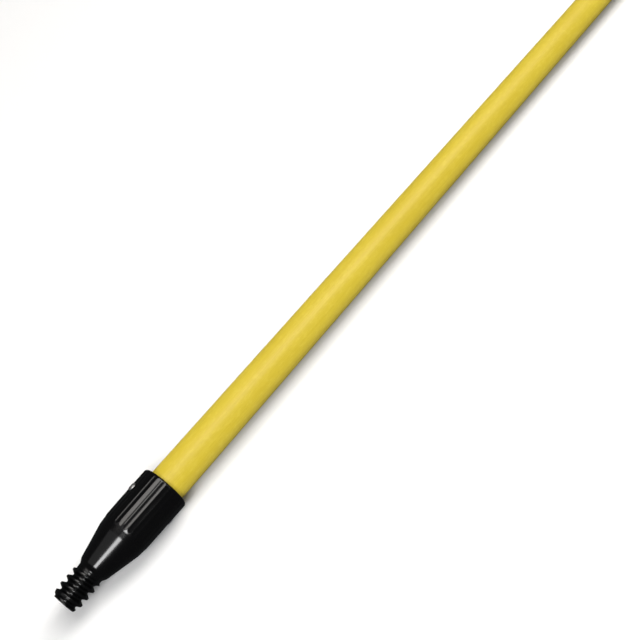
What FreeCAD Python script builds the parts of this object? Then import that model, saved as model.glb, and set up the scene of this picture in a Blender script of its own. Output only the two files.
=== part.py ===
"""Two-section roller extension pole: fibreglass tubes, screw-thread tip and external twist lock.

The pole lies along X. The origin is the centre of the butt cap's end face, +X runs towards
the threaded tip, and +Z is up with the pole lying down. All sizes are in millimetres. The pole
is drawn pulled out and locked; every sliding piece stands where it is at that length.
"""

import FreeCAD
import Part
import math
import os

# ---------------------------------------------------------------- driving dimensions
INNER_TUBE_R = 12.7  # 1 in fibreglass tube
INNER_TUBE_WALL = 2.0
OUTER_TUBE_R = 15.875  # 1 1/4 in fibreglass tube
OUTER_TUBE_WALL = 2.2
OUTER_TUBE_LENGTH = 860.0
INNER_TUBE_START = 700.0  # lower end of the inner tube at this extension
SHOWN_TUBE = 650.0  # bare inner tube between lock and tip at this extension

THREAD_MAJOR_R = 9.525  # 3/4 in, 5 threads per inch
THREAD_PITCH = 5.08
THREAD_DEPTH = 2.65
THREAD_CREST = 1.2  # flat on the crest
THREAD_FLOOR = 1.0  # flat at the root

CAP_SOLID_END = 26.0  # solid plastic behind the tube
CAP_LENGTH = 80.0
HANG_HOLE_R = 4.5
GRIP_LENGTH = 240.0
GRIP_R = 19.4

NUT_R = 24.0
NUT_SCOOPS = 8  # finger scoops round the nut
SCOOP_R = 9.0
SCOOP_CENTRE_R = 31.0
LOCK_LEAD = 6.0  # axial travel of the lock nut in one turn
LOCK_STARTS = 2

# ---------------------------------------------------------------- sizes that follow
OUTER_BORE_R = OUTER_TUBE_R - OUTER_TUBE_WALL
INNER_BORE_R = INNER_TUBE_R - INNER_TUBE_WALL
TUBE_MOUTH = CAP_SOLID_END + OUTER_TUBE_LENGTH  # x of the outer tube's open end
NUT_BACK = TUBE_MOUTH - 14.0
NUT_FRONT = TUBE_MOUTH + 54.0
TIP_RIM = NUT_FRONT + SHOWN_TUBE  # x of the threaded tip's rim
TIP_SOCKET = 37.0  # how deep the inner tube sits in the tip
RUN_CLEARANCE = 0.15  # radial gap between pieces that move past each other
# The butt cap is as large as the nut stands high on two ridges, so the pole lies level.
POMMEL_R = (NUT_R**2 + SCOOP_CENTRE_R**2 - SCOOP_R**2) / (2 * SCOOP_CENTRE_R)

X_AXIS = FreeCAD.Vector(1, 0, 0)
Y_AXIS = FreeCAD.Vector(0, 1, 0)
ORIGIN = FreeCAD.Vector(0, 0, 0)


# ---------------------------------------------------------------- helpers
def turned(corners, x0=0.0):
    """Solid of revolution about X from a closed outline.

    Each corner is (x, radius), or (x, radius, rounding) for a tangent arc in its place.
    """
    points = [FreeCAD.Vector(x0 + corner[0], 0, corner[1]) for corner in corners]
    arcs, firsts, lasts = [], [], []
    for i, corner in enumerate(corners):
        first = last = points[i]
        if len(corner) == 3:
            to_last = (points[i - 1] - points[i]).normalize()
            to_next = (points[(i + 1) % len(points)] - points[i]).normalize()
            half_angle = to_last.getAngle(to_next) / 2
            reach = corner[2] / math.tan(half_angle)
            inwards = (to_last + to_next).normalize()
            middle = points[i] + inwards * (corner[2] / math.sin(half_angle) - corner[2])
            first, last = points[i] + to_last * reach, points[i] + to_next * reach
            arcs.append(Part.Arc(first, middle, last).toShape())
        firsts.append(first)
        lasts.append(last)
    lines = [
        Part.makeLine(lasts[i - 1], firsts[i])
        for i in range(len(points))
        if lasts[i - 1].distanceToPoint(firsts[i]) > 1e-6
    ]
    outline = Part.Wire(Part.__sortEdges__(lines + arcs))
    return Part.Face(outline).revolve(ORIGIN, X_AXIS, 360)


def tube(x0, x1, outer_r, inner_r):
    """Plain round tube from x0 to x1."""
    return turned([(x0, inner_r), (x1, inner_r), (x1, outer_r), (x0, outer_r)])


def about_x(shape, degrees):
    """The shape turned about the pole's axis."""
    turned_shape = shape.copy()
    turned_shape.rotate(ORIGIN, X_AXIS, degrees)
    return turned_shape


def around(shape, count, first_deg=0.0):
    """Copies of the shape evenly spaced about the pole's axis."""
    return [about_x(shape, first_deg + 360.0 * i / count) for i in range(count)]


def radial(shape, x):
    """A shape of revolution about X, stood up so that it points along +Z at x."""
    shape.rotate(ORIGIN, Y_AXIS, -90)
    shape.translate(FreeCAD.Vector(x, 0, 0))
    return shape


def helical_bar(profile, lead, x0, length, start_deg=0.0):
    """Right-handed helical bar about X. The profile is (offset along x, radius) corners."""
    mean_r = sum(r for _, r in profile) / len(profile)
    path = Part.makeLongHelix(lead, length, mean_r)
    corners = [FreeCAD.Vector(r, 0, x) for x, r in profile]
    outline = Part.makePolygon(corners + corners[:1])
    bar = Part.Wire(path.Edges).makePipeShell([outline], True, True)
    bar.rotate(ORIGIN, Y_AXIS, 90)
    bar.rotate(ORIGIN, X_AXIS, start_deg)
    bar.translate(FreeCAD.Vector(x0, 0, 0))
    return bar


def trapezoid(root_r, crest_r, root_width, crest_width):
    """Profile of a thread or of the cutter that makes its groove."""
    return [
        (-root_width / 2, root_r),
        (root_width / 2, root_r),
        (crest_width / 2, crest_r),
        (-crest_width / 2, crest_r),
    ]


# ---------------------------------------------------------------- threaded tip
# Sizes along X are counted from the tip's rim.
COLLAR_R = 17.0  # at the rim
COLLAR_END, COLLAR_END_R = 36.2, 16.45  # moulding draft makes it smaller
STEP_END, STEP_END_R = 37.9, 16.05  # a small bevelled step down from the flutes
SHOULDER, SHOULDER_R = 42.6, 15.6
CONE_END, CONE_END_R = 64.2, 10.2
NECK_R = 8.5
THREAD_ZONE = 68.3
TIP_LENGTH = 89.8
LEAD_IN, LEAD_IN_R = 5.5, 7.7  # taper at the very end
TIP_FLUTES = 30
FLUTE_R = 7.0
FLUTE_DEPTH = 0.22
RIVET_FROM_RIM = 14.4
RIVET_ANGLE = 57.0  # about X from +Z towards -Y, and one more opposite
RIVET_SHANK_R = 2.0
RIVET_HEAD_R = 2.9
RIVET_HEAD_H = 1.4
RIVET_SEAT_R = 16.0  # distance of the head's flat seat from the pole's axis
THREAD_TURN = -122.0  # where the groove starts, degrees about X


def tip_body():
    """The moulded body without thread, bored for the tube and cored behind the socket."""
    end_x = THREAD_ZONE + 0.5
    body = turned(
        [(0, 0), (0, COLLAR_R, 2.2), (COLLAR_END, COLLAR_END_R),
         (STEP_END, STEP_END_R), (SHOULDER, SHOULDER_R, 10.0),
         (CONE_END, CONE_END_R, 7.0), (CONE_END + 2.6, NECK_R, 1.2), (end_x, NECK_R),
         (end_x, 0)],
        TIP_RIM,
    )
    socket = turned(
        [(-1, 0), (TIP_SOCKET, 0), (TIP_SOCKET, INNER_TUBE_R), (0.8, INNER_TUBE_R),
         (0, INNER_TUBE_R + 0.8), (-1, INNER_TUBE_R + 0.8)],
        TIP_RIM,
    )
    core = turned([(TIP_SOCKET - 1, 0), (TIP_SOCKET + 20, 0), (TIP_SOCKET + 20, 3.5, 2.0),
                   (TIP_SOCKET, 7.5), (TIP_SOCKET - 1, 7.5)], TIP_RIM)
    return body.cut(socket).cut(core)


def tip_thread():
    """The screw: a cylinder with one helical groove and a tapered lead-in."""
    blank = turned(
        [(THREAD_ZONE, 0), (THREAD_ZONE, NECK_R), (THREAD_ZONE + 1.2, THREAD_MAJOR_R),
         (TIP_LENGTH - LEAD_IN, THREAD_MAJOR_R), (TIP_LENGTH, LEAD_IN_R, 1.2),
         (TIP_LENGTH, 0)],
        TIP_RIM,
    )
    root_r = THREAD_MAJOR_R - THREAD_DEPTH
    outside_r = THREAD_MAJOR_R + 0.6
    slope = (THREAD_PITCH - THREAD_CREST - THREAD_FLOOR) / THREAD_DEPTH
    groove = helical_bar(
        trapezoid(root_r, outside_r, THREAD_FLOOR, THREAD_FLOOR + slope * (outside_r - root_r)),
        THREAD_PITCH,
        TIP_RIM + THREAD_ZONE - THREAD_PITCH * 0.9,
        THREAD_PITCH * 6.2,
        THREAD_TURN,
    )
    core_flare = turned(
        [(THREAD_ZONE - 1, 0), (THREAD_ZONE - 1, NECK_R), (THREAD_ZONE + 1.5, NECK_R - 0.2),
         (THREAD_ZONE + 4.0, root_r), (THREAD_ZONE + 4.0, 0)],
        TIP_RIM,
    )
    return blank.cut(groove).fuse(core_flare)


def tip_flutes():
    """Cutters for the shallow lengthwise flutes of the collar."""
    draft = math.degrees(math.atan2(COLLAR_R - COLLAR_END_R, COLLAR_END))
    cutter = Part.makeCylinder(FLUTE_R, COLLAR_END + 6, FreeCAD.Vector(-4, 0, 0), X_AXIS)
    cutter.rotate(ORIGIN, Y_AXIS, draft)
    cutter.translate(FreeCAD.Vector(TIP_RIM, 0, COLLAR_R + FLUTE_R - FLUTE_DEPTH))
    return around(cutter, TIP_FLUTES)


def at_tip_rivets(shape):
    """The shape, drawn along +Z, at both of the tip's rivets."""
    return [about_x(shape, RIVET_ANGLE), about_x(shape, RIVET_ANGLE + 180)]


def tip_rivet_hole():
    """Cutter for one radial rivet hole with its spot face, pointing along +Z."""
    x = TIP_RIM + RIVET_FROM_RIM
    hole = Part.makeCylinder(RIVET_SHANK_R, 20, FreeCAD.Vector(x, 0, 5))
    return hole.fuse(Part.makeCylinder(RIVET_HEAD_R + 0.3, 5, FreeCAD.Vector(x, 0, RIVET_SEAT_R)))


def threaded_tip():
    """Moulded nylon tip: socket, fluted collar, cone and screw in one piece."""
    tip = tip_body().fuse(tip_thread())
    for cutter in tip_flutes() + at_tip_rivets(tip_rivet_hole()):
        tip = tip.cut(cutter)
    return tip.removeSplitter()


def tip_rivet_body():
    """Blind rivet's aluminium body: dome head, hollow shank and the bulge behind the tube."""
    seat, inside = RIVET_SEAT_R, INNER_BORE_R - 0.45
    outline = [
        (seat, RIVET_HEAD_R), (seat + 0.4, RIVET_HEAD_R, 0.2), (seat + RIVET_HEAD_H, 1.9, 1.5),
        (seat + RIVET_HEAD_H, 1.15), (inside - 2.2, 1.15), (inside - 2.2, 2.2, 0.6),
        (inside - 0.8, 2.7, 0.6), (inside, 2.7), (inside, RIVET_SHANK_R), (seat, RIVET_SHANK_R),
    ]
    return radial(turned(outline), TIP_RIM + RIVET_FROM_RIM)


def tip_rivet_stem():
    """The steel mandrel left in the rivet, with its head on the blind side."""
    top, inside = RIVET_SEAT_R + 0.8, INNER_BORE_R - 0.45
    outline = [
        (top, 0), (top, 1.12, 0.25), (inside - 2.25, 1.12), (inside - 2.25, 1.9),
        (inside - 3.7, 1.9, 0.9), (inside - 3.7, 0),
    ]
    return radial(turned(outline), TIP_RIM + RIVET_FROM_RIM)


# ---------------------------------------------------------------- inner section
GUIDE_SLEEVE_LENGTH = 80.0
GUIDE_SLEEVE_R = 13.45
PLUG_SPIGOT = 30.0
PLUG_NECK_R = 6.0
PLUG_NECK_LENGTH = 15.0
BUSHING_R = 13.6
WASHER_R = 9.5
WASHER_T = 1.6
SCREW_R = 2.1
PIN_R = 1.5
PIN_FROM_END = 25.0  # cross pin, from the inner tube's lower end


def inner_tube():
    """The tube that carries the tip."""
    pipe = tube(INNER_TUBE_START, TIP_RIM + TIP_SOCKET, INNER_TUBE_R, INNER_BORE_R)
    rivet_x = TIP_RIM + RIVET_FROM_RIM
    hole = Part.makeCylinder(RIVET_SHANK_R, 20, FreeCAD.Vector(rivet_x, 0, 5))
    for cutter in at_tip_rivets(hole) + [pin_hole()]:
        pipe = pipe.cut(cutter)
    return pipe


def pin_hole():
    """Cutter for the cross pin through guide sleeve, inner tube and plug."""
    return Part.makeCylinder(PIN_R, 40, FreeCAD.Vector(INNER_TUBE_START + PIN_FROM_END, 0, -20))


def guide_sleeve():
    """Stop sleeve on the inner tube's lower end; it meets the lock sleeve at full reach."""
    end = INNER_TUBE_START + GUIDE_SLEEVE_LENGTH
    outline = [
        (INNER_TUBE_START, INNER_TUBE_R), (end, INNER_TUBE_R), (end, GUIDE_SLEEVE_R, 0.5),
        (INNER_TUBE_START, GUIDE_SLEEVE_R, 0.5),
    ]
    return turned(outline).cut(pin_hole())


def inner_plug():
    """Plug in the inner tube's lower end, with the neck that the bushing turns on."""
    start, neck, end = 0, -PLUG_NECK_LENGTH, PLUG_SPIGOT
    flange_r = INNER_TUBE_R - 0.3
    outline = [
        (neck, SCREW_R), (14, SCREW_R), (14, 0), (end, 0), (end, INNER_BORE_R, 1.2),
        (start, INNER_BORE_R), (start, flange_r), (start - 1.5, flange_r),
        (start - 1.5, PLUG_NECK_R), (neck, PLUG_NECK_R),
    ]
    return turned(outline, INNER_TUBE_START).cut(pin_hole())


def plug_pin():
    """Slotted spring pin that fixes plug and guide sleeve to the inner tube."""
    half = GUIDE_SLEEVE_R - 0.5
    foot = FreeCAD.Vector(INNER_TUBE_START + PIN_FROM_END, 0, -half)
    pin = Part.makeCylinder(PIN_R, 2 * half, foot)
    pin = pin.cut(Part.makeCylinder(PIN_R - 0.45, 2 * half, foot))
    return pin.cut(Part.makeBox(3, 0.5, 2 * half, foot - Y_AXIS * 0.25))


def guide_bushing():
    """Acetal bushing that slides in the outer tube and turns freely on the plug's neck."""
    back, front = 0.15 - PLUG_NECK_LENGTH, -1.65
    bore, groove_r = PLUG_NECK_R + 0.08, BUSHING_R - 0.6
    outline = [
        (back, bore), (front, bore), (front, BUSHING_R, 0.8), (back + 4.0, BUSHING_R),
        (back + 4.0, groove_r), (back + 3.0, groove_r), (back + 3.0, BUSHING_R),
        (back, BUSHING_R, 0.8),
    ]
    return turned(outline, INNER_TUBE_START)


def retaining_washer():
    """Steel washer between bushing and screw head."""
    back = INNER_TUBE_START - PLUG_NECK_LENGTH - WASHER_T
    return tube(back, back + WASHER_T, WASHER_R, SCREW_R + 0.1)


def retaining_screw():
    """Pan-head screw that holds the washer and bushing on the plug."""
    face = INNER_TUBE_START - PLUG_NECK_LENGTH - WASHER_T
    outline = [
        (face - 2.8, 0), (face - 2.8, 4.0, 1.8), (face, 4.0), (face, SCREW_R),
        (face + 26, SCREW_R), (face + 28, 0.6), (face + 28, 0),
    ]
    screw = turned(outline)
    for turn in (0, 90):
        blade = Part.makeBox(3, 0.9, 4.2, FreeCAD.Vector(face - 4.3, -0.45, -2.1))
        screw = screw.cut(about_x(blade, turn))
    return screw


# ---------------------------------------------------------------- twist lock
# Sizes along X are counted from the outer tube's mouth.
SLEEVE_SOCKET = 50.0
SLEEVE_R = 18.6
SLEEVE_SHOULDER = 3.5
SLEEVE_BORE_R = INNER_TUBE_R + RUN_CLEARANCE
SLEEVE_SCREW_X = -32.0
CLIP_FROM, CLIP_WIDTH = -7.0, 1.4  # groove of the stop clip
CLIP_FLOOR_R, CLIP_R = 17.6, 19.7
LOCK_THREAD_FROM, LOCK_THREAD_TO = 5.0, 20.0
LOCK_ROOT_R, LOCK_CREST_R = 16.1, 17.3
FINGER_FROM, FINGER_TO = 24.0, 38.2
FINGER_BACK_R, FINGER_FRONT_R = 15.6, 14.3
FINGER_SLOTS = 6
SLOT_WIDTH = 1.6
RING_FROM, RING_TO = 26.5, 38.0
RING_R = 17.0
UNLOCK_TRAVEL = LOCK_LEAD / 2  # half a turn of the nut
WIPER_R = 15.0
WIPER_T = 4.0
BAND_FROM, BAND_TO = 7.5, 46.0  # the nut's rubber band, from the nut's back
BAND_DEPTH = 1.6


def lock_threads(profile, x0, length):
    """The two starts of the lock's coarse thread."""
    turns = [360.0 * start / LOCK_STARTS for start in range(LOCK_STARTS)]
    return [helical_bar(profile, LOCK_LEAD, TUBE_MOUTH + x0, length, turn) for turn in turns]


def lock_sleeve():
    """Collet body bonded over the outer tube: socket, stop shoulder, thread and fingers."""
    back, clip_to = -SLEEVE_SOCKET, CLIP_FROM + CLIP_WIDTH
    outline = [
        (back, OUTER_TUBE_R), (0, OUTER_TUBE_R), (0, SLEEVE_BORE_R),
        (FINGER_TO, SLEEVE_BORE_R), (FINGER_TO, FINGER_FRONT_R),
        (FINGER_FROM, FINGER_BACK_R), (LOCK_THREAD_TO + 1, FINGER_BACK_R),
        (LOCK_THREAD_TO + 1, LOCK_ROOT_R), (SLEEVE_SHOULDER, LOCK_ROOT_R),
        (SLEEVE_SHOULDER, SLEEVE_R), (clip_to, SLEEVE_R), (clip_to, CLIP_FLOOR_R),
        (CLIP_FROM, CLIP_FLOOR_R), (CLIP_FROM, SLEEVE_R), (back, SLEEVE_R, 1.8),
    ]
    sleeve = turned(outline, TUBE_MOUTH)
    ridge = trapezoid(LOCK_ROOT_R - 0.3, LOCK_CREST_R, 1.7, 0.9)
    ridge_length = LOCK_THREAD_TO - LOCK_THREAD_FROM - 2.0
    for thread in lock_threads(ridge, LOCK_THREAD_FROM, ridge_length):
        sleeve = sleeve.fuse(thread)
    slot_start = FreeCAD.Vector(TUBE_MOUTH + FINGER_FROM - 1, -SLOT_WIDTH / 2, 0)
    slot = Part.makeBox(FINGER_TO - FINGER_FROM + 3, SLOT_WIDTH, 20, slot_start)
    for cutter in around(slot, FINGER_SLOTS) + around(sleeve_screw_hole(), 2, 90):
        sleeve = sleeve.cut(cutter)
    return sleeve


def sleeve_screw_hole():
    """Cutter for one countersunk screw through sleeve and tube, pointing along +Z."""
    x = TUBE_MOUTH + SLEEVE_SCREW_X
    hole = Part.makeCylinder(1.5, 10, FreeCAD.Vector(x, 0, OUTER_BORE_R + 0.5))
    sink = Part.makeCone(1.5, 3.0, 1.6, FreeCAD.Vector(x, 0, SLEEVE_R - 1.6))
    return hole.fuse(sink).fuse(Part.makeCylinder(3.0, 2, FreeCAD.Vector(x, 0, SLEEVE_R)))


def sleeve_screws():
    """Two countersunk screws, too short to reach the outer tube's bore."""
    x, foot = TUBE_MOUTH + SLEEVE_SCREW_X, OUTER_BORE_R + 0.5
    shank = Part.makeCylinder(1.5, SLEEVE_R - 1.6 - foot, FreeCAD.Vector(x, 0, foot))
    screw = shank.fuse(Part.makeCone(1.5, 2.9, 1.5, FreeCAD.Vector(x, 0, SLEEVE_R - 1.6)))
    for length, width in ((4.0, 0.8), (0.8, 4.0)):
        corner = FreeCAD.Vector(x - length / 2, -width / 2, SLEEVE_R - 0.9)
        screw = screw.cut(Part.makeBox(length, width, 1.5, corner))
    return Part.makeCompound(around(screw, 2, 90))


def stop_clip():
    """Spring-steel C ring in the sleeve's groove; it keeps the nut from coming off."""
    start, end = CLIP_FROM + 0.1, CLIP_FROM + CLIP_WIDTH - 0.1
    ring = tube(TUBE_MOUTH + start, TUBE_MOUTH + end, CLIP_R, CLIP_FLOOR_R + 0.02)
    return ring.cut(Part.makeBox(4, 7, 30, FreeCAD.Vector(TUBE_MOUTH + start - 1, -3.5, 0)))


def finger_r(x):
    """Outside radius of the collet fingers at x."""
    share = (x - FINGER_FROM) / (FINGER_TO - FINGER_FROM)
    return FINGER_BACK_R + share * (FINGER_FRONT_R - FINGER_BACK_R)


def clamp_ring():
    """Tapered ring pushed along the fingers by the nut, kept from turning by two keys."""
    gap = 0.06
    outline = [
        (RING_FROM, finger_r(RING_FROM) + gap), (RING_TO, finger_r(RING_TO) + gap),
        (RING_TO, RING_R, 0.5), (RING_FROM, RING_R, 0.5),
    ]
    ring = turned(outline, TUBE_MOUTH)
    key_width = SLOT_WIDTH - 0.3
    key_start = FreeCAD.Vector(TUBE_MOUTH + RING_FROM + 1, -key_width / 2, 13.6)
    key = Part.makeBox(RING_TO - RING_FROM - 2, key_width, 2.2, key_start)
    for rib in around(key, 2):
        ring = ring.fuse(rib)
    return ring


def nut_scoops(x0, x1, depth=0.0):
    """Cutters for the finger scoops round the nut, from x0 to x1 counted from its back."""
    start = FreeCAD.Vector(NUT_BACK + x0, 0, -SCOOP_CENTRE_R)
    return around(Part.makeCylinder(SCOOP_R + depth, x1 - x0, start, X_AXIS), NUT_SCOOPS)


def lock_nut():
    """Twist collar: skirt over the stop clip, thread, snap pocket for the ring and mouth."""
    back, front = NUT_BACK - TUBE_MOUTH, NUT_FRONT - TUBE_MOUTH
    band_from, band_to, band_r = back + BAND_FROM, back + BAND_TO, NUT_R - BAND_DEPTH
    skirt_r = SLEEVE_R + 0.3
    clip_room_r = CLIP_R + 0.3
    clip_back = CLIP_FROM - UNLOCK_TRAVEL - 0.4
    thread_crest_r = LOCK_ROOT_R + 0.3
    pocket_r = RING_R + 0.25
    bore_r = INNER_TUBE_R + 0.35
    finger_room_r = FINGER_FRONT_R + 1.2
    wiper_seat = front - WIPER_T - 1.0
    outer = [
        (back, skirt_r + 0.8), (back, 21.2, 1.0), (band_from, 22.9, 0.6), (band_from, band_r),
        (band_to, band_r), (band_to, 23.2, 0.6), (band_to + 4.0, 23.0, 6.0),
        (front - 6.0, 18.0, 5.0), (front, 17.4, 1.6),
    ]
    inner = [
        (front, WIPER_R), (wiper_seat, WIPER_R), (wiper_seat, bore_r),
        (RING_TO + 0.3, bore_r), (RING_TO + 0.3, finger_room_r),
        (RING_TO + 0.1, finger_room_r), (RING_TO + 0.1, pocket_r),
        (RING_FROM - 0.1, pocket_r), (RING_FROM - 0.1, RING_R - 0.2),
        (LOCK_THREAD_TO + 2.5, RING_R - 0.2), (LOCK_THREAD_TO + 2.5, thread_crest_r),
        (SLEEVE_SHOULDER + 0.7, thread_crest_r), (SLEEVE_SHOULDER + 0.7, clip_room_r),
        (clip_back, clip_room_r), (clip_back, skirt_r), (back + 0.8, skirt_r),
    ]
    nut = turned(outer + inner, TUBE_MOUTH)
    groove = trapezoid(thread_crest_r - 0.6, LOCK_CREST_R + 0.3, 2.75, 1.5)
    groove_length = LOCK_THREAD_TO - LOCK_THREAD_FROM + 2.5 * LOCK_LEAD
    cutters = lock_threads(groove, LOCK_THREAD_FROM - LOCK_LEAD, groove_length)
    cutters += nut_scoops(BAND_FROM, BAND_TO, BAND_DEPTH)
    cutters += nut_scoops(BAND_TO, NUT_FRONT - NUT_BACK)
    for cutter in cutters:
        nut = nut.cut(cutter)
    return nut


def nut_grip():
    """Rubber band moulded round the nut, following its scoops."""
    start, end = NUT_BACK + BAND_FROM, NUT_BACK + BAND_TO
    band = turned([(start, 17), (end, 17), (end, NUT_R, 1.2), (start, NUT_R, 1.2)])
    for cutter in nut_scoops(BAND_FROM - 1, BAND_TO + 1) + [lock_nut()]:
        band = band.cut(cutter)
    return max(band.Solids, key=lambda solid: solid.Volume)


def wiper_ring():
    """Rubber ring in the nut's mouth that keeps paint and dust out of the lock."""
    front = NUT_FRONT - 1.0
    bore_r = INNER_TUBE_R + 0.25
    return turned([
        (front - WIPER_T, bore_r + 0.8), (front - WIPER_T + 1.5, bore_r), (front, bore_r),
        (front, WIPER_R), (front - WIPER_T, WIPER_R),
    ])


# ---------------------------------------------------------------- outer section
def outer_tube():
    """The tube that is held in the hands; the inner section slides in it."""
    pipe = tube(CAP_SOLID_END, TUBE_MOUTH, OUTER_TUBE_R, OUTER_BORE_R)
    for cutter in around(sleeve_screw_hole(), 2, 90):
        pipe = pipe.cut(cutter)
    return pipe


def butt_cap():
    """Moulded cap: flat end, flared pommel with a hanging hole, socket over the tube."""
    cap = turned([
        (0, 0), (0, POMMEL_R, 4.0), (19.0, POMMEL_R, 30.0), (42.0, GRIP_R, 40.0),
        (CAP_LENGTH, GRIP_R, 1.0), (CAP_LENGTH, OUTER_TUBE_R), (CAP_SOLID_END, OUTER_TUBE_R),
        (CAP_SOLID_END, 0),
    ])
    return cap.cut(Part.makeCylinder(HANG_HOLE_R, 80, FreeCAD.Vector(12.5, -40, 0), Y_AXIS))


def hand_grip():
    """Rubber sleeve over the outer tube, next to the butt cap."""
    start, end = CAP_LENGTH, CAP_LENGTH + GRIP_LENGTH
    return turned([(start, OUTER_TUBE_R), (end, OUTER_TUBE_R), (end, GRIP_R, 1.6),
                   (start, GRIP_R, 0.8)])


# ---------------------------------------------------------------- export
NODES = {
    "outer_tube": outer_tube,
    "butt_cap": butt_cap,
    "hand_grip": hand_grip,
    "lock_sleeve": lock_sleeve,
    "sleeve_screws": sleeve_screws,
    "stop_clip": stop_clip,
    "clamp_ring": clamp_ring,
    "lock_nut": lock_nut,
    "nut_grip": nut_grip,
    "wiper_ring": wiper_ring,
    "guide_bushing": guide_bushing,
    "inner_tube": inner_tube,
    "guide_sleeve": guide_sleeve,
    "inner_plug": inner_plug,
    "plug_pin": plug_pin,
    "retaining_washer": retaining_washer,
    "retaining_screw": retaining_screw,
    "threaded_tip": threaded_tip,
    "tip_rivet_bodies": lambda: Part.makeCompound(at_tip_rivets(tip_rivet_body())),
    "tip_rivet_stems": lambda: Part.makeCompound(at_tip_rivets(tip_rivet_stem())),
}

os.makedirs("parts", exist_ok=True)
for name, build in NODES.items():
    shape = build()
    shape.exportStep(f"parts/{name}.step")
    box = shape.BoundBox
    print(
        f"{name}: solids {len(shape.Solids)}, valid {shape.isValid()}, "
        f"x {box.XMin:.1f} to {box.XMax:.1f}, volume {shape.Volume / 1000:.2f} cm3"
    )
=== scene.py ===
import math

import bpy
import numpy as np
from mathutils import Matrix, Vector


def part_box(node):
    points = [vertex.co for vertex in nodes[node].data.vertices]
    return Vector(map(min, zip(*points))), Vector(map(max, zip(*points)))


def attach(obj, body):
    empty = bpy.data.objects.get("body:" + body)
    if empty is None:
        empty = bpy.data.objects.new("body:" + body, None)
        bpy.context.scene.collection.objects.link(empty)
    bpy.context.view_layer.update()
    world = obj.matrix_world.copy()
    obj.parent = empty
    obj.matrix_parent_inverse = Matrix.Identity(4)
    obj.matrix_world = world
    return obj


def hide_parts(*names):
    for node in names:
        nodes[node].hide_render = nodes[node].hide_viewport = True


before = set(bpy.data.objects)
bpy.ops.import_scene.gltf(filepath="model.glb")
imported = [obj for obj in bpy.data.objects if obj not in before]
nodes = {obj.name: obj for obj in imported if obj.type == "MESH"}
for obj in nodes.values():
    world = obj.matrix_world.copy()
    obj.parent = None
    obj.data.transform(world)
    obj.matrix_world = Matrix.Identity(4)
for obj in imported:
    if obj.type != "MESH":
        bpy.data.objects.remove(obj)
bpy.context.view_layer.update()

# ---------------------------------------------------------------- where the pole lies
# The pole lies along X with the tip towards +X, resting on the butt cap and the lock nut.
# These places along it come from the CAD pieces; sizes in the sections below are in mm.
MM = 0.001
rim_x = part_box("threaded_tip")[0].x
floor_z = min(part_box("butt_cap")[0].z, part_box("nut_grip")[0].z)

# ---------------------------------------------------------------- camera
# A 45 mm lens looks down on the tip, with the tube running away up the frame. It is aimed at a
# point on the tube, beside the tip.
camera_data = bpy.data.cameras.new("camera")
camera_data.lens = 45.0
camera_data.sensor_width = 36.0
camera_data.clip_start = 0.01
camera = bpy.data.objects.new("camera", camera_data)
bpy.context.scene.collection.objects.link(camera)
azimuth, elevation, distance = math.radians(127.2), math.radians(60.3), 0.5704
aim = Vector((rim_x - 0.1566, 0.0038, -0.0013))
towards_camera = Vector((
    math.sin(azimuth) * math.cos(elevation),
    -math.cos(azimuth) * math.cos(elevation),
    math.sin(elevation),
))
camera.location = aim + towards_camera * distance
camera.rotation_euler = towards_camera.to_track_quat("Z", "Y").to_euler()
bpy.context.scene.camera = camera

# ---------------------------------------------------------------- floor
# Plain pale paper under the pole. It stays out of glossy reflections, so that black plastic keeps
# its dark edges, and throws back less light than it shows, so that the tube's sides fall off
# into shade. Far from the pole, where the lamps don't reach, a glow lights it.
floor_mesh = bpy.data.meshes.new("floor")
floor_half = 12.0
floor_mesh.from_pydata(
    [(x * floor_half, y * floor_half, floor_z) for x, y in ((-1, -1), (1, -1), (1, 1), (-1, 1))],
    [],
    [(0, 1, 2, 3)],
)
floor = bpy.data.objects.new("floor", floor_mesh)
bpy.context.scene.collection.objects.link(floor)
floor.visible_glossy = False
paper = bpy.data.materials.new("floor_paper")
paper.use_nodes = True
tree = paper.node_tree
surface = tree.nodes["Principled BSDF"]
surface.inputs["Roughness"].default_value = 0.9
surface.inputs["Specular IOR Level"].default_value = 0.1
surface.inputs["Emission Strength"].default_value = 1.0
ray = tree.nodes.new("ShaderNodeLightPath")
whiteness = tree.nodes.new("ShaderNodeMapRange")
whiteness.inputs["To Min"].default_value = 0.93
whiteness.inputs["To Max"].default_value = 0.40
tree.links.new(ray.outputs["Is Diffuse Ray"], whiteness.inputs["Value"])
tree.links.new(whiteness.outputs["Result"], surface.inputs["Base Color"])
place = tree.nodes.new("ShaderNodeTexCoord")
off_centre = tree.nodes.new("ShaderNodeVectorMath")
off_centre.operation = "MULTIPLY_ADD"
off_centre.inputs[1].default_value = (1.0, 1.8, 0)
off_centre.inputs[2].default_value = (-0.85, 0, 0)
distance_off = tree.nodes.new("ShaderNodeVectorMath")
distance_off.operation = "LENGTH"
glow = tree.nodes.new("ShaderNodeMapRange")
glow.interpolation_type = "SMOOTHSTEP"
for socket, number in zip(("From Min", "From Max", "To Max"), (1.0, 2.3, 0.85)):
    glow.inputs[socket].default_value = number
tree.links.new(place.outputs["Object"], off_centre.inputs[0])
tree.links.new(off_centre.outputs["Vector"], distance_off.inputs[0])
tree.links.new(distance_off.outputs["Value"], glow.inputs["Value"])
tree.links.new(glow.outputs["Result"], surface.inputs["Emission Color"])
floor_mesh.materials.append(paper)

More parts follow.
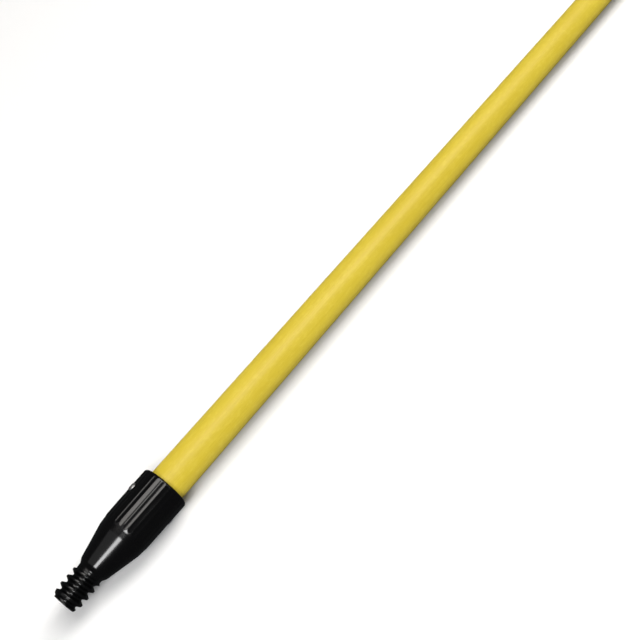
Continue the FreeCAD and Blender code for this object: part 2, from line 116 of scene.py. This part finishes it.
# ---------------------------------------------------------------- light
# A long softbox hangs over the tube and ends above the tip, with a narrow one beside it for the
# streaks in gloss. A smaller lamp stands beyond the tip with a grey card beside it, and a wide
# softbox fills from the butt's end. The room is dim, so that glossy black plastic stays black
# between their reflections, and only its far wall is seen as pale.
world = bpy.data.worlds.new("room")
world.use_nodes = True
room = world.node_tree.nodes["Background"]
room.inputs["Color"].default_value = (0.95, 0.97, 1.0, 1)
ray = world.node_tree.nodes.new("ShaderNodeLightPath")
room_strength = world.node_tree.nodes.new("ShaderNodeMapRange")
room_strength.inputs["To Min"].default_value = 0.05
room_strength.inputs["To Max"].default_value = 0.85
world.node_tree.links.new(ray.outputs["Is Camera Ray"], room_strength.inputs["Value"])
world.node_tree.links.new(room_strength.outputs["Result"], room.inputs["Strength"])
bpy.context.scene.world = world
bpy.context.scene.view_settings.view_transform = "Standard"
bpy.context.scene.view_settings.look = "None"


def from_tip(along, turn_deg, reach):
    """A place seen from the tip: along X, and turned about X from straight up towards +Y."""
    turn = math.radians(turn_deg)
    return Vector((rim_x + along, math.sin(turn) * reach, math.cos(turn) * reach))


def softbox(name, centre, target, length, width, radiance,
            colour=(1.0, 1.0, 1.0), diffuse=True, glossy=True):
    """Area lamp facing the target, with its length as near along X as that allows."""
    lamp = bpy.data.lights.new(name, "AREA")
    lamp.shape = "RECTANGLE"
    lamp.size, lamp.size_y = length, width
    lamp.energy = radiance * math.pi * width * length
    lamp.color = colour
    holder = bpy.data.objects.new(name, lamp)
    bpy.context.scene.collection.objects.link(holder)
    away = (centre - target).normalized()
    side = (Vector((1, 0, 0)) - away * away.x).normalized()
    turned = Matrix((side, away.cross(side), away)).transposed().to_4x4()
    holder.matrix_world = Matrix.Translation(centre) @ turned
    holder.visible_diffuse = diffuse
    holder.visible_glossy = glossy


softbox("tube_softbox", from_tip(-0.97, -1.0, 1.5), from_tip(-0.97, 0, 0), 2.10, 0.60, 6.9,
        colour=(1.0, 0.98, 0.95), glossy=False)
softbox("streak_softbox", from_tip(-0.97, -14.0, 1.5), from_tip(-0.97, 0, 0), 2.10, 0.80, 4.3,
        colour=(1.0, 0.97, 0.93), diffuse=False)
softbox("tip_lamp", from_tip(0.62, 18.0, 1.25), from_tip(0.03, 0, 0), 0.62, 0.41, 13.5)
softbox("tip_card", from_tip(0.62, -24.0, 1.25), from_tip(0.03, 0, 0), 0.75, 1.10, 0.35,
        diffuse=False)
softbox("fill_softbox", from_tip(-1.35, 4.0, 1.6), from_tip(-0.3, 0, 0), 1.4, 1.7, 0.8)

# ---------------------------------------------------------------- threaded tip
# The end that a roller frame is screwed on: a fluted collar over the tube, a cone and the
# 3/4 in screw. One moulding in glossy black nylon from a two-part mould, with the parting
# line along both sides and the broken gate in a shallow recess of the end face.
tip_collar_r, tip_collar_end, tip_collar_end_r = 17.0, 36.2, 16.45
tip_flutes, tip_flute_r, tip_flute_depth = 30, 7.0, 0.22
tip_thread_from, tip_length = 68.3, 89.8
tip_major_r, tip_root_r, tip_pitch = 9.525, 6.875, 5.08
tip_groove_half, tip_flank, tip_crest_round, tip_root_round = 0.5, 1.44, 0.30, 0.45
tip_groove_at = (-0.9, 58.0)  # a groove's middle: pitches from the thread's start, and degrees
tip_rivet = (14.4, 57.0)  # from the rim, and degrees about X from +Z towards -Y
tip_seat_r, tip_seat_reach, tip_seat_edge = 16.0, 3.35, 0.3
parting_turn, parting_half, parting_height = 100.286, 0.12, 0.035
arc_spacing = 0.3


def rounded_outline(corners, step, closed=False):
    """Points (x, radius) in mm along a turned outline. A corner's third value rounds it, and its
    fourth is the spacing of the points from there to the next corner, where it isn't step."""
    places = [np.array(corner[:2], float) for corner in corners]
    runs, spacings = [], []
    for i, corner in enumerate(corners):
        rounding, spacing = (corner + (0, step)[len(corner) - 2:])[2:]
        spacings.append(spacing)
        if not rounding:
            runs.append([places[i]])
            continue
        back = places[i - 1] - places[i]
        ahead = places[(i + 1) % len(corners)] - places[i]
        back, ahead = back / np.linalg.norm(back), ahead / np.linalg.norm(ahead)
        half_angle = math.acos(float(back @ ahead)) / 2
        middle = (back + ahead) / np.linalg.norm(back + ahead)
        centre = places[i] + middle * rounding / math.sin(half_angle)
        reach = rounding / math.tan(half_angle)
        first, last = places[i] + back * reach - centre, places[i] + ahead * reach - centre
        sweep = math.atan2(first[0] * last[1] - first[1] * last[0], float(first @ last))
        count = max(3, math.ceil(abs(sweep) * rounding / arc_spacing))
        turns = np.linspace(0, sweep, count + 1)
        runs.append([
            centre + (first[0] * math.cos(t) - first[1] * math.sin(t),
                      first[0] * math.sin(t) + first[1] * math.cos(t))
            for t in turns
        ])
    points = []
    for i, run in enumerate(runs):
        points += run
        if i + 1 < len(runs) or closed:
            gap = runs[(i + 1) % len(runs)][0] - run[-1]
            count = math.ceil(np.linalg.norm(gap) / spacings[i])
            points += [run[-1] + gap * k / count for k in range(1, count)]
    return np.array(points)


def polar_mesh(name, outline, columns, radius, closed=False, x0=0.0):
    """Smooth mesh round X from an outline in mm; radius(x, r, angle) shapes it in each column."""
    angles = 2 * math.pi * np.arange(columns) / columns
    x, angle = np.meshgrid(outline[:, 0], angles, indexing="ij")
    r = radius(x, np.repeat(outline[:, 1:], columns, axis=1), angle)
    points = np.stack([x + x0, -r * np.sin(angle), r * np.cos(angle)], axis=-1) * MM
    rows = len(outline)
    row = np.arange(rows if closed else rows - 1)[:, None]
    column = np.arange(columns)[None, :]
    next_row, next_column = (row + 1) % rows, (column + 1) % columns
    quads = np.stack([
        row * columns + column, row * columns + next_column,
        next_row * columns + next_column, next_row * columns + column,
    ], axis=-1).reshape(-1, 4)
    mesh = bpy.data.meshes.new(name)
    mesh.vertices.add(rows * columns)
    mesh.vertices.foreach_set("co", points.ravel())
    ends = [] if closed else [np.arange(columns), np.arange(columns)[::-1] + (rows - 1) * columns]
    mesh.loops.add(quads.size + sum(len(end) for end in ends))
    mesh.loops.foreach_set("vertex_index", np.concatenate([quads.ravel(), *ends]).astype(np.int32))
    starts = [4 * k for k in range(len(quads))]
    starts += [quads.size + columns * k for k in range(len(ends))]
    mesh.polygons.add(len(starts))
    mesh.polygons.foreach_set("loop_start", np.array(starts, np.int32))
    mesh.update(calc_edges=True)
    mesh.validate()
    mesh.shade_smooth()
    piece = bpy.data.objects.new(name, mesh)
    bpy.context.scene.collection.objects.link(piece)
    return piece


def soft_min(a, b, blend):
    """The smaller of two surfaces, with the edge between them rounded over about blend mm."""
    share = np.clip(0.5 + 0.5 * (b - a) / blend, 0, 1)
    return b * (1 - share) + a * share - blend * share * (1 - share)


def scooped(limit, angle, count, centre_r, scoop_r):
    """Radius of a round bar with hollows cut along it by count bars of scoop_r at centre_r."""
    pitch = 2 * math.pi / count
    away = np.abs((angle + pitch / 2) % pitch - pitch / 2)
    under = scoop_r**2 - (centre_r * np.sin(away)) ** 2
    cut = centre_r * np.cos(away) - np.sqrt(np.maximum(under, 0))
    return np.where(under > 0, np.minimum(limit, cut), limit)


def tip_radius(x, r, angle):
    """The tip's radius with flutes, rivet seats, screw thread and parting line."""
    collar_r = np.interp(x, [0, tip_collar_end], [tip_collar_r, tip_collar_end_r])
    fluted = scooped(r, angle, tip_flutes,
                     collar_r + tip_flute_r - tip_flute_depth, tip_flute_r)
    r = np.where((r > 14) & (x < tip_collar_end + 6), fluted, r)
    # screw, with its grooves running out towards the neck
    turns = angle / (2 * math.pi) - tip_groove_at[1] / 360
    offset = x - tip_thread_from - tip_pitch * (tip_groove_at[0] + turns)
    off_groove = np.abs((offset + tip_pitch / 2) % tip_pitch - tip_pitch / 2)
    slope = (tip_major_r - tip_root_r) / tip_flank
    wall = tip_root_r + (off_groove - tip_groove_half) * slope
    wall = -soft_min(-wall, np.full_like(wall, -tip_root_r), tip_root_round)
    flare = np.interp(x, [tip_thread_from + 1.2, tip_thread_from + 4.0], [8.35, tip_root_r])
    wall = -soft_min(-wall, -flare, 0.35)
    screw = (x > tip_thread_from) & (r > 5)
    r = np.where(screw, soft_min(r, wall, tip_crest_round), r)
    # flat seats of the two rivets
    for turn in (tip_rivet[1], tip_rivet[1] + 180):
        away = angle - math.radians(turn)
        off_axis = np.hypot(x - tip_rivet[0], r * np.sin(away))
        share = np.clip((tip_seat_reach - off_axis) / tip_seat_edge, 0, 1)
        share = share * (np.cos(away) > 0) * (r > 14)
        share = share * share * (3 - 2 * share)
        r = r + share * (tip_seat_r / np.maximum(np.cos(away), 0.5) - r)
    # parting line
    off_line = np.abs(np.sin(angle - math.radians(parting_turn))) * r
    raised = parting_height * np.clip(1 - off_line / parting_half, 0, 1)
    return r + raised * (r > 6.5) * (x > 0.5) * (x < 88)


seat_rows = [
    (x, float(np.interp(x, [0, tip_collar_end], [tip_collar_r, tip_collar_end_r])), 0, spacing)
    for x, spacing in ((tip_rivet[0] - 3.6, 0.3), (tip_rivet[0] + 3.6, 3.0))
]
tip_outline = rounded_outline([
    (37.0, 0.05, 0, 4.0), (37.0, 12.7, 0, 6.0), (0.8, 12.7, 0, 1.5), (0, 13.5, 0, 1.5),
    (0, tip_collar_r, 2.2, 3.0), *seat_rows, (tip_collar_end, tip_collar_end_r),
    (37.9, 16.05, 0, 0.5), (42.6, 15.6, 10.0, 2.0), (64.2, 10.2, 7.0, 0.4), (66.8, 8.5, 1.2, 0.4),
    (tip_thread_from, 8.5), (tip_thread_from + 1.2, tip_major_r), (tip_length - 5.5, tip_major_r),
    (tip_length, 7.7, 1.2, 1.5), (tip_length, 3.2, 0.3, 1.0), (tip_length - 0.6, 2.9, 0.2, 1.0),
    (tip_length - 0.6, 1.2, 0.2, 1.0), (tip_length - 0.2, 1.0, 0.15, 1.0), (tip_length - 0.2, 0.05),
], 0.22)
tip = polar_mesh("tip_moulding", tip_outline, tip_flutes * 14, tip_radius, x0=rim_x / MM)
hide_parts("threaded_tip")
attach(tip, "inner_section")


def node_group(name, settings):
    """Effect group giving Colour, Roughness and Height; settings are its inputs and defaults."""
    group = bpy.data.node_groups.new(name, "ShaderNodeTree")
    for socket, value in settings.items():
        kind = "NodeSocketFloat" if isinstance(value, float) else "NodeSocketColor"
        group.interface.new_socket(socket, in_out="INPUT", socket_type=kind).default_value = value
    group.interface.new_socket("Colour", in_out="OUTPUT", socket_type="NodeSocketColor")
    group.interface.new_socket("Roughness", in_out="OUTPUT", socket_type="NodeSocketFloat")
    group.interface.new_socket("Height", in_out="OUTPUT", socket_type="NodeSocketFloat")
    return group, group.nodes.new("NodeGroupInput"), group.nodes.new("NodeGroupOutput")


def noise_field(group, stretch, detail=3.0, rough=0.55):
    """Noise in the piece's own space; stretch is how many times it changes in a metre, per axis."""
    place = group.nodes.new("ShaderNodeTexCoord")
    scale = group.nodes.new("ShaderNodeVectorMath")
    scale.operation = "MULTIPLY"
    scale.inputs[1].default_value = stretch
    field = group.nodes.new("ShaderNodeTexNoise")
    field.inputs["Scale"].default_value = 1.0
    field.inputs["Detail"].default_value = detail
    field.inputs["Roughness"].default_value = rough
    group.links.new(place.outputs["Object"], scale.inputs[0])
    group.links.new(scale.outputs["Vector"], field.inputs["Vector"])
    return field.outputs["Fac"]


def spread(group, value, low, high, to_low=0.0, to_high=1.0):
    """The value stretched from low..high to to_low..to_high, clamped and smoothed at the ends."""
    node = group.nodes.new("ShaderNodeMapRange")
    node.interpolation_type = "SMOOTHSTEP"
    group.links.new(value, node.inputs["Value"])
    for socket, number in zip(("From Min", "From Max", "To Min", "To Max"),
                              (low, high, to_low, to_high)):
        node.inputs[socket].default_value = number
    return node.outputs["Result"]


def combine(group, operation, a, b):
    """Two values, or a value and a number, put through one math operation."""
    node = group.nodes.new("ShaderNodeMath")
    node.operation = operation
    for socket, value in zip(node.inputs, (a, b)):
        if isinstance(value, (int, float)):
            socket.default_value = value
        else:
            group.links.new(value, socket)
    return node.outputs["Value"]


def mix_colour(group, share, a, b):
    """Colour a turned into colour b by share; each is a socket or a colour."""
    node = group.nodes.new("ShaderNodeMix")
    node.data_type = "RGBA"
    group.links.new(share, node.inputs["Factor"])
    for socket, value in zip((node.inputs[6], node.inputs[7]), (a, b)):
        if isinstance(value, tuple):
            socket.default_value = value
        else:
            group.links.new(value, socket)
    return node.outputs[2]


def edge_mask(group, width):
    """1 on convex edges and 0 elsewhere, from the normal rounded over width in metres."""
    rounded = group.nodes.new("ShaderNodeBevel")
    rounded.samples = 4
    rounded.inputs["Radius"].default_value = width
    plain = group.nodes.new("ShaderNodeNewGeometry")
    same = group.nodes.new("ShaderNodeVectorMath")
    same.operation = "DOT_PRODUCT"
    group.links.new(rounded.outputs["Normal"], same.inputs[0])
    group.links.new(plain.outputs["Normal"], same.inputs[1])
    return spread(group, same.outputs["Value"], 0.995, 0.90)


# Moulded plastic: faint orange peel, flow marks in the gloss, scuffed edges, hair scratches, dust.
moulded, given, made = node_group("moulded_plastic", {
    "Colour": (0.01, 0.01, 0.01, 1), "Worn": (0.05, 0.05, 0.05, 1), "Gloss roughness": 0.15,
    "Wear": 1.0,
})
peel = noise_field(moulded, (900, 900, 900), 2.0)
flow = spread(moulded, noise_field(moulded, (35, 120, 120), 4.0), 0.35, 0.70)
scratches = spread(moulded, noise_field(moulded, (260, 2600, 1700), 1.0), 0.70, 0.76)
dust = spread(moulded, noise_field(moulded, (2400, 2400, 2400), 1.0), 0.77, 0.80)
patches = spread(moulded, noise_field(moulded, (140, 140, 140), 5.0), 0.40, 0.65)
worn_edge = combine(moulded, "MULTIPLY", edge_mask(moulded, 0.0004), patches)
worn_edge = combine(moulded, "MULTIPLY", worn_edge, given.outputs["Wear"])
marks = combine(moulded, "MULTIPLY", combine(moulded, "MAXIMUM", scratches, dust), 0.35)
shown = combine(moulded, "MAXIMUM", combine(moulded, "MULTIPLY", marks, given.outputs["Wear"]),
                combine(moulded, "MULTIPLY", worn_edge, 0.8))
moulded.links.new(
    mix_colour(moulded, shown, given.outputs["Colour"], given.outputs["Worn"]),
    made.inputs["Colour"],
)
rough = combine(moulded, "ADD", given.outputs["Gloss roughness"],
                combine(moulded, "MULTIPLY", flow, 0.05))
moulded.links.new(combine(moulded, "ADD", rough, combine(moulded, "MULTIPLY", shown, 0.35)),
                  made.inputs["Roughness"])
moulded.links.new(
    combine(moulded, "SUBTRACT", combine(moulded, "MULTIPLY", peel, 0.006),
            combine(moulded, "MULTIPLY", scratches, 0.004)),
    made.inputs["Height"],
)


def material(name, effect, settings, constants):
    """Material whose colour, roughness and bump come from an effect group."""
    made_material = bpy.data.materials.new(name)
    made_material.use_nodes = True
    tree = made_material.node_tree
    surface = tree.nodes["Principled BSDF"]
    skin = tree.nodes.new("ShaderNodeGroup")
    skin.node_tree = effect
    for socket, value in settings.items():
        skin.inputs[socket].default_value = value
    bump = tree.nodes.new("ShaderNodeBump")
    bump.inputs["Distance"].default_value = MM
    tree.links.new(skin.outputs["Colour"], surface.inputs["Base Color"])
    tree.links.new(skin.outputs["Roughness"], surface.inputs["Roughness"])
    tree.links.new(skin.outputs["Height"], bump.inputs["Height"])
    tree.links.new(bump.outputs["Normal"], surface.inputs["Normal"])
    for socket, value in constants.items():
        surface.inputs[socket].default_value = value
    return made_material


def dress(piece, made_material):
    """Gives a piece its one material."""
    piece.data.materials.clear()
    piece.data.materials.append(made_material)


dress(tip, material("black_nylon", moulded, {
    "Colour": (0.0016, 0.0016, 0.0018, 1), "Worn": (0.012, 0.012, 0.013, 1),
    "Gloss roughness": 0.16, "Wear": 0.6,
}, {"IOR": 1.53}))

# ---------------------------------------------------------------- tip rivets
# Two aluminium blind rivets opposite each other hold the tip on the tube. The dome heads sit in
# the collar's spot faces with the steel mandrel broken off inside; bright, with fine tool marks.
bright_metal, given, made = node_group("bright_metal", {
    "Colour": (0.8, 0.8, 0.8, 1), "Worn": (0.5, 0.5, 0.5, 1), "Gloss roughness": 0.25,
    "Grain": 0.5,
})
grain = noise_field(bright_metal, (9000, 3500, 9000), 3.0)
stain = spread(bright_metal, noise_field(bright_metal, (700, 700, 700), 5.0), 0.42, 0.70)
nicks = spread(bright_metal, noise_field(bright_metal, (2600, 1500, 2600), 1.0), 0.69, 0.74)
dulled = combine(bright_metal, "MAXIMUM", combine(bright_metal, "MULTIPLY", stain, 0.55), nicks)
bright_metal.links.new(
    mix_colour(bright_metal, dulled, given.outputs["Colour"], given.outputs["Worn"]),
    made.inputs["Colour"],
)
rough = combine(bright_metal, "ADD", given.outputs["Gloss roughness"],
                combine(bright_metal, "MULTIPLY", dulled, 0.18))
bright_metal.links.new(rough, made.inputs["Roughness"])
bright_metal.links.new(
    combine(bright_metal, "SUBTRACT",
            combine(bright_metal, "MULTIPLY", combine(bright_metal, "MULTIPLY", grain, 0.02),
                    given.outputs["Grain"]),
            combine(bright_metal, "MULTIPLY", nicks, 0.015)),
    made.inputs["Height"],
)
dress(nodes["tip_rivet_bodies"], material("rivet_aluminium", bright_metal, {
    "Colour": (0.86, 0.85, 0.83, 1), "Worn": (0.62, 0.61, 0.60, 1), "Gloss roughness": 0.34,
    "Grain": 0.6,
}, {"Metallic": 1.0}))
dress(nodes["tip_rivet_stems"], material("rivet_steel", bright_metal, {
    "Colour": (0.46, 0.45, 0.44, 1), "Worn": (0.20, 0.17, 0.15, 1), "Gloss roughness": 0.36,
    "Grain": 1.0,
}, {"Metallic": 1.0}))

# ---------------------------------------------------------------- inner tube
# Pultruded fibreglass, 1 in across, yellow polyester resin over lengthwise glass rovings and a
# thin surface veil. Satin skin, with long faint scratches from sliding through the lock.
fibreglass, given, made = node_group("fibreglass", {
    "Resin": (0.67, 0.53, 0.045, 1), "Deep": (0.59, 0.44, 0.03, 1), "Pale": (0.73, 0.60, 0.08, 1),
    "Gloss roughness": 0.50, "Scratches": 0.5,
})
rovings = noise_field(fibreglass, (9, 1500, 1500), 4.0, 0.6)
veil = noise_field(fibreglass, (170, 420, 420), 4.0, 0.65)
clouds = noise_field(fibreglass, (14, 45, 45), 2.0)
long_scratches = spread(fibreglass, noise_field(fibreglass, (5, 1900, 1900), 1.0), 0.69, 0.73)
pinholes = spread(fibreglass, noise_field(fibreglass, (1300, 1900, 1900), 1.0), 0.765, 0.79)
glass = spread(fibreglass, rovings, 0.40, 0.68, 0.0, 0.55)
body = mix_colour(fibreglass, glass, given.outputs["Resin"], given.outputs["Deep"])
body = mix_colour(fibreglass, spread(fibreglass, veil, 0.45, 0.72, 0.0, 0.45), body,
                  given.outputs["Pale"])
body = mix_colour(fibreglass, spread(fibreglass, clouds, 0.40, 0.65, 0.0, 0.30), body,
                  given.outputs["Deep"])
rubbed = combine(fibreglass, "MULTIPLY", long_scratches, given.outputs["Scratches"])
body = mix_colour(fibreglass, combine(fibreglass, "MULTIPLY", rubbed, 0.35), body,
                  given.outputs["Pale"])
body = mix_colour(fibreglass, combine(fibreglass, "MULTIPLY", pinholes, 0.7), body,
                  (0.25, 0.17, 0.03, 1))
fibreglass.links.new(body, made.inputs["Colour"])
rough = combine(fibreglass, "ADD", given.outputs["Gloss roughness"],
                combine(fibreglass, "MULTIPLY", combine(fibreglass, "SUBTRACT", veil, 0.5), 0.25))
rough = combine(fibreglass, "ADD", rough, combine(fibreglass, "MULTIPLY", rubbed, 0.12))
fibreglass.links.new(rough, made.inputs["Roughness"])
height = combine(fibreglass, "ADD", combine(fibreglass, "MULTIPLY", rovings, 0.020),
                 combine(fibreglass, "MULTIPLY", veil, 0.012))
height = combine(fibreglass, "SUBTRACT", height, combine(fibreglass, "MULTIPLY", rubbed, 0.006))
fibreglass.links.new(
    combine(fibreglass, "SUBTRACT", height, combine(fibreglass, "MULTIPLY", pinholes, 0.02)),
    made.inputs["Height"],
)
dress(nodes["inner_tube"], material("fibreglass_inner", fibreglass, {
    "Resin": (0.65, 0.51, 0.042, 1), "Scratches": 0.8,
}, {
    "IOR": 1.54, "Specular IOR Level": 0.3, "Diffuse Roughness": 0.5,
}))

# ---------------------------------------------------------------- guide sleeve
# Black nylon stop sleeve pinned on the inner tube's lower end, inside the outer tube. Plain
# matt moulding, rubbed shinier where it slides.
dress(nodes["guide_sleeve"], material("guide_nylon", moulded, {
    "Colour": (0.012, 0.012, 0.013, 1), "Gloss roughness": 0.42,
}, {"IOR": 1.53}))

# ---------------------------------------------------------------- inner plug
# Turned black nylon plug in the inner tube's lower end, with the neck that the bushing
# turns on. Held by the cross pin.
dress(nodes["inner_plug"], material("plug_nylon", moulded, {
    "Colour": (0.014, 0.014, 0.015, 1), "Gloss roughness": 0.38,
}, {"IOR": 1.53}))

# ---------------------------------------------------------------- plug pin
# Slotted spring pin of blued steel, driven through guide sleeve, tube and plug.
spring_steel = material("spring_steel", bright_metal, {
    "Colour": (0.40, 0.40, 0.42, 1), "Worn": (0.16, 0.14, 0.13, 1), "Gloss roughness": 0.30,
    "Grain": 1.0,
}, {"Metallic": 1.0})
dress(nodes["plug_pin"], spring_steel)

# ---------------------------------------------------------------- guide bushing
# Natural acetal ring that the inner section slides and turns on in the outer tube. Milky
# white, with grey rub marks.
natural_acetal = material("natural_acetal", moulded, {
    "Colour": (0.74, 0.73, 0.68, 1), "Worn": (0.45, 0.43, 0.38, 1), "Gloss roughness": 0.34,
}, {"Subsurface Weight": 0.15, "Subsurface Scale": 0.001})
dress(nodes["guide_bushing"], natural_acetal)

# ---------------------------------------------------------------- retaining washer
# Punched steel washer, zinc plated, between the bushing and the screw's head.
zinc_plate = material("zinc_plate", bright_metal, {
    "Colour": (0.62, 0.63, 0.66, 1), "Worn": (0.42, 0.42, 0.43, 1), "Gloss roughness": 0.36,
    "Grain": 0.7,
}, {"Metallic": 1.0})
dress(nodes["retaining_washer"], zinc_plate)

# ---------------------------------------------------------------- retaining screw
# Zinc plated pan-head screw with a cross recess, up the middle of the plug.
dress(nodes["retaining_screw"], zinc_plate)

# ---------------------------------------------------------------- outer tube
# The same pultruded fibreglass in 1 1/4 in, less scratched because only the hands rub it. Its
# wall is drilled for the two screws of the lock sleeve.
dress(nodes["outer_tube"], material("fibreglass_outer", fibreglass, {
    "Resin": (0.65, 0.51, 0.040, 1), "Scratches": 0.35,
}, {
    "IOR": 1.54, "Specular IOR Level": 0.3, "Diffuse Roughness": 0.5,
}))

# ---------------------------------------------------------------- lock sleeve
# Black nylon collet body bonded and screwed over the outer tube's mouth, with a coarse thread
# and six fingers under the nut. Satin moulding.
dress(nodes["lock_sleeve"], material("sleeve_nylon", moulded, {
    "Colour": (0.010, 0.010, 0.011, 1), "Worn": (0.05, 0.05, 0.05, 1), "Gloss roughness": 0.30,
}, {"IOR": 1.53}))

# ---------------------------------------------------------------- sleeve screws
# Two countersunk zinc plated screws that hold the lock sleeve on the tube.
dress(nodes["sleeve_screws"], zinc_plate)

# ---------------------------------------------------------------- stop clip
# Open ring of spring steel in the sleeve's groove, which keeps the nut on.
dress(nodes["stop_clip"], spring_steel)

# ---------------------------------------------------------------- clamp ring
# Natural acetal ring with a tapered bore, which the nut pushes over the fingers.
dress(nodes["clamp_ring"], natural_acetal)

# ---------------------------------------------------------------- lock nut
# The collar that is twisted to lock the pole: black nylon, satin, with eight finger scoops and
# a bed for the rubber band. Its edges are rubbed by gloves and paint trays.
dress(nodes["lock_nut"], material("nut_nylon", moulded, {
    "Colour": (0.009, 0.009, 0.010, 1), "Worn": (0.06, 0.06, 0.06, 1), "Gloss roughness": 0.28,
}, {"IOR": 1.53}))

# ---------------------------------------------------------------- nut grip
# Soft rubber band moulded round the nut between two hems. It follows the finger scoops and
# has fine lengthwise ribs; matt black, dusty between the ribs.
nut_r, scoops, scoop_r, scoop_centre_r = 24.0, 8, 9.0, 31.0
band_depth, band_length, band_ribs, band_rib_depth = 1.6, 38.5, 96, 0.45


def band_radius(x, r, angle):
    """The band's radius: the nut's scooped outline less the outline's depth, with its ribs."""
    rib = 0.5 - 0.5 * np.cos(angle * band_ribs)
    hem = np.clip((np.minimum(x, band_length - x) - 3.0) / 1.2, 0, 1)
    outer = scooped(nut_r, angle + math.pi, scoops, scoop_centre_r, scoop_r)
    return outer - band_rib_depth * rib**2 * hem * (r > nut_r - 0.3) - (nut_r - r)


bed_r = nut_r - band_depth + 0.02
band_outline = rounded_outline([
    (0.05, bed_r), (0.05, nut_r, 1.2), (4.5, nut_r, 0, 5.0), (band_length - 4.5, nut_r),
    (band_length - 0.05, nut_r, 1.2), (band_length - 0.05, bed_r, 0, 5.0),
], 0.25, closed=True)
band = polar_mesh("nut_band", band_outline, band_ribs * 10, band_radius, closed=True,
                  x0=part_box("nut_grip")[0].x / MM)

# Rubber: fine pebbled skin, dust, hands' polish, paler worn edges.
rubber, given, made = node_group("rubber_skin", {
    "Colour": (0.018, 0.018, 0.019, 1), "Dusty": (0.075, 0.072, 0.068, 1),
    "Gloss roughness": 0.62,
})
pebble = noise_field(rubber, (2600, 2600, 2600), 3.0)
handling = spread(rubber, noise_field(rubber, (60, 110, 110), 4.0), 0.42, 0.66)
settled = spread(rubber, noise_field(rubber, (900, 900, 900), 4.0), 0.58, 0.74)
rubbed_edge = combine(rubber, "MULTIPLY", edge_mask(rubber, 0.0005), 0.5)
pale = combine(rubber, "MAXIMUM", combine(rubber, "MULTIPLY", settled, 0.35),
               combine(rubber, "MULTIPLY", rubbed_edge, handling))
rubber.links.new(
    mix_colour(rubber, pale, given.outputs["Colour"], given.outputs["Dusty"]),
    made.inputs["Colour"],
)
rubber.links.new(
    combine(rubber, "SUBTRACT", given.outputs["Gloss roughness"],
            combine(rubber, "MULTIPLY", handling, 0.14)),
    made.inputs["Roughness"],
)
rubber.links.new(combine(rubber, "MULTIPLY", pebble, 0.05), made.inputs["Height"])

dress(band, material("nut_rubber", rubber, {"Colour": (0.020, 0.020, 0.021, 1)}, {"IOR": 1.5}))
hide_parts("nut_grip")
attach(band, "nut")

# ---------------------------------------------------------------- wiper ring
# Moulded rubber ring pressed into the nut's mouth, just clear of the inner tube.
dress(nodes["wiper_ring"], material("wiper_rubber", rubber, {
    "Colour": (0.016, 0.016, 0.017, 1),
}, {"IOR": 1.5}))

# ---------------------------------------------------------------- hand grip
# Rubber sleeve pushed over the outer tube next to the butt cap, moulded with round ribs in
# groups for the fingers and a smooth bead at each end. Matt black, dusty in the grooves.
grip_r, grip_length, grip_bead = 19.4, 240.0, 9.0
grip_group, grip_gap = 30.0, 6.0
grip_rib_pitch, grip_rib_depth = 3.0, 0.85


def grip_radius(x, r, angle):
    """Rings round the grip, left out in a smooth stretch between groups and at both ends."""
    skin = r > grip_r - 0.4
    ring = 0.5 - 0.5 * np.cos(2 * math.pi * (x - grip_bead) / grip_rib_pitch)
    within = (x - grip_bead) % grip_group
    share = np.clip(np.minimum(within, grip_group - grip_gap - within) / 1.5, 0, 1)
    share = share * np.clip((np.minimum(x, grip_length - x) - grip_bead) / 1.5, 0, 1)
    seam = 0.05 * np.clip(1 - np.abs(np.sin(angle)) * r / 0.15, 0, 1)
    return r - skin * (grip_rib_depth * share * ring**2 + 0.06 - seam)


grip_outline = rounded_outline([
    (0, 15.9), (0, grip_r, 0.8, grip_rib_pitch / 8), (grip_length, grip_r, 1.6),
    (grip_length, 15.9, 0, 40.0),
], 2.0, closed=True)
grip = polar_mesh("grip_sleeve", grip_outline, 144, grip_radius, closed=True,
                  x0=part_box("hand_grip")[0].x / MM)
dress(grip, material("grip_rubber", rubber, {}, {"IOR": 1.5}))
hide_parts("hand_grip")
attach(grip, "outer_section")

# ---------------------------------------------------------------- butt cap
# Moulded polypropylene cap: flat end, flared pommel with a hanging hole, socket over the tube.
# The same black as the tip but less polished, and scuffed where it is set down.
dress(nodes["butt_cap"], material("cap_polypropylene", moulded, {
    "Colour": (0.010, 0.010, 0.011, 1), "Worn": (0.07, 0.07, 0.07, 1),
    "Gloss roughness": 0.30,
}, {"IOR": 1.49}))
